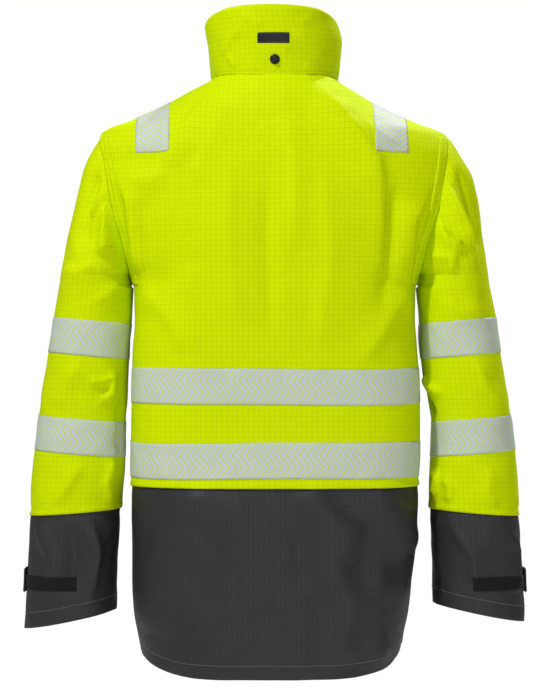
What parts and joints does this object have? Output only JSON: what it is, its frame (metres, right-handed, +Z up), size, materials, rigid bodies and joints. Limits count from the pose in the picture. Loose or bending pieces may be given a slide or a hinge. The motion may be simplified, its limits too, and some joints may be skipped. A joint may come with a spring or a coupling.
{
  "type": "high-visibility coat",
  "caption": "Long-sleeved waterproof high-visibility coat with stand collar, hip-length hem, reflective tapes, zip under a front flap, flap pockets and adjustable cuffs.",
  "frame": {"origin": "where the hanger loop bears on its peg, inside the back of the neck", "axes": "+Z up along the coat's length; +Y out of the back of the coat, the wearer facing -Y; +X to the wearer's left"},
  "size_m": [0.7246, 0.2612, 0.9347],
  "materials": {
    "hi_vis_yellow": "matt coated ripstop",
    "charcoal_fabric": "matt coated ripstop",
    "reflective_tape": "silver retroreflective with zigzag lines",
    "lining_fabric": "smooth lining",
    "black_trim": "matt hook-and-loop and webbing",
    "black_zip": "satin",
    "black_metal": "black lacquered"
  },
  "bodies": {
    "coat": {"back_upper_panel": "hi_vis_yellow", "front_upper_panel_left": "hi_vis_yellow", "front_upper_panel_right": "hi_vis_yellow", "armhole_band_left": "hi_vis_yellow", "armhole_band_right": "hi_vis_yellow", "collar_shell": "hi_vis_yellow", "back_lower_panel": "charcoal_fabric", "front_lower_panel_left": "charcoal_fabric", "front_lower_panel_right": "charcoal_fabric", "pocket_left": "charcoal_fabric", "pocket_right": "charcoal_fabric", "back_tape_upper": "reflective_tape", "back_tape_lower": "reflective_tape", "front_tape_upper_left": "reflective_tape", "front_tape_upper_right": "reflective_tape", "front_tape_lower_left": "reflective_tape", "front_tape_lower_right": "reflective_tape", "shoulder_tape_left": "reflective_tape", "shoulder_tape_right": "reflective_tape", "body_lining": "lining_fabric", "collar_lining": "lining_fabric", "collar_patch": "black_trim", "flap_loop_pads": "black_trim", "hanger_loop": "black_trim", "zip_half_left": "black_zip", "zip_half_right": "black_zip", "hood_stud": "black_metal"},
    "storm_flap": {"storm_flap": "hi_vis_yellow", "flap_tapes": "reflective_tape", "flap_hook_pads": "black_trim"},
    "zip_slider": {"zip_slider": "black_metal"},
    "zip_pull": {"zip_pull": "black_metal"},
    "pocket_flap_left": {"pocket_flap_left": "charcoal_fabric"},
    "sleeve_left": {"sleeve_upper_left": "hi_vis_yellow", "sleeve_lining_upper_left": "lining_fabric", "sleeve_tape_upper_left": "reflective_tape"},
    "forearm_left": {"sleeve_forearm_left": "hi_vis_yellow", "sleeve_lining_forearm_left": "lining_fabric", "sleeve_tape_lower_left": "reflective_tape", "cuff_left": "charcoal_fabric", "cuff_loop_left": "black_trim"},
    "cuff_tab_left": {"cuff_tab_left": "charcoal_fabric", "cuff_hook_left": "black_trim"},
    "pocket_flap_right": {"pocket_flap_right": "charcoal_fabric"},
    "sleeve_right": {"sleeve_upper_right": "hi_vis_yellow", "sleeve_lining_upper_right": "lining_fabric", "sleeve_tape_upper_right": "reflective_tape"},
    "forearm_right": {"sleeve_forearm_right": "hi_vis_yellow", "sleeve_lining_forearm_right": "lining_fabric", "sleeve_tape_lower_right": "reflective_tape", "cuff_right": "charcoal_fabric", "cuff_loop_right": "black_trim"},
    "cuff_tab_right": {"cuff_tab_right": "charcoal_fabric", "cuff_hook_right": "black_trim"}
  },
  "joints": [
    {"name": "storm_flap_hinge", "type": "hinge", "parent": "coat", "child": "storm_flap", "pos_m": [0.042, -0.17867, -0.4514], "axis": [0, 0.0371, 0.9993], "range_deg": [0, 95]},
    {"name": "zip_slide", "type": "slide", "parent": "coat", "child": "zip_slider", "axis": [0, -0.0371, -0.9993], "range_m": [0, 0.8]},
    {"name": "zip_pull_hinge", "type": "hinge", "parent": "zip_slider", "child": "zip_pull", "pos_m": [0, -0.15353, 0.0345], "axis": [-1, 0, 0], "range_deg": [0, 160]},
    {"name": "pocket_flap_left_hinge", "type": "hinge", "parent": "coat", "child": "pocket_flap_left", "pos_m": [0.05043, -0.195, -0.61], "axis": [-0.9766, -0.2149, 0], "range_deg": [0, 115]},
    {"name": "pocket_flap_right_hinge", "type": "hinge", "parent": "coat", "child": "pocket_flap_right", "pos_m": [-0.05043, -0.195, -0.61], "axis": [-0.9766, 0.2149, 0], "range_deg": [0, 115]},
    {"name": "sleeve_left_raise", "type": "hinge", "parent": "coat", "child": "sleeve_left", "pos_m": [0.2475, -0.0565, -0.097], "axis": [0, -1, 0], "range_deg": [0, 50]},
    {"name": "elbow_left_bend", "type": "hinge", "parent": "sleeve_left", "child": "forearm_left", "pos_m": [0.272, -0.124, -0.452], "axis": [-1, 0, 0], "range_deg": [0, 90], "stiffness_Nm_per_rad": 0.35, "springref_deg": -40.11},
    {"name": "cuff_tab_left_hinge", "type": "hinge", "parent": "forearm_left", "child": "cuff_tab_left", "pos_m": [0.296, -0.1225, -0.732], "axis": [0, 0, -1], "range_deg": [0, 100]},
    {"name": "sleeve_right_raise", "type": "hinge", "parent": "coat", "child": "sleeve_right", "pos_m": [-0.2475, -0.0565, -0.097], "axis": [0, 1, 0], "range_deg": [0, 50]},
    {"name": "elbow_right_bend", "type": "hinge", "parent": "sleeve_right", "child": "forearm_right", "pos_m": [-0.272, -0.124, -0.452], "axis": [-1, 0, 0], "range_deg": [0, 90], "stiffness_Nm_per_rad": 0.35, "springref_deg": -40.11},
    {"name": "cuff_tab_right_hinge", "type": "hinge", "parent": "forearm_right", "child": "cuff_tab_right", "pos_m": [-0.296, -0.1225, -0.732], "axis": [0, 0, 1], "range_deg": [0, 100]}
  ]
}
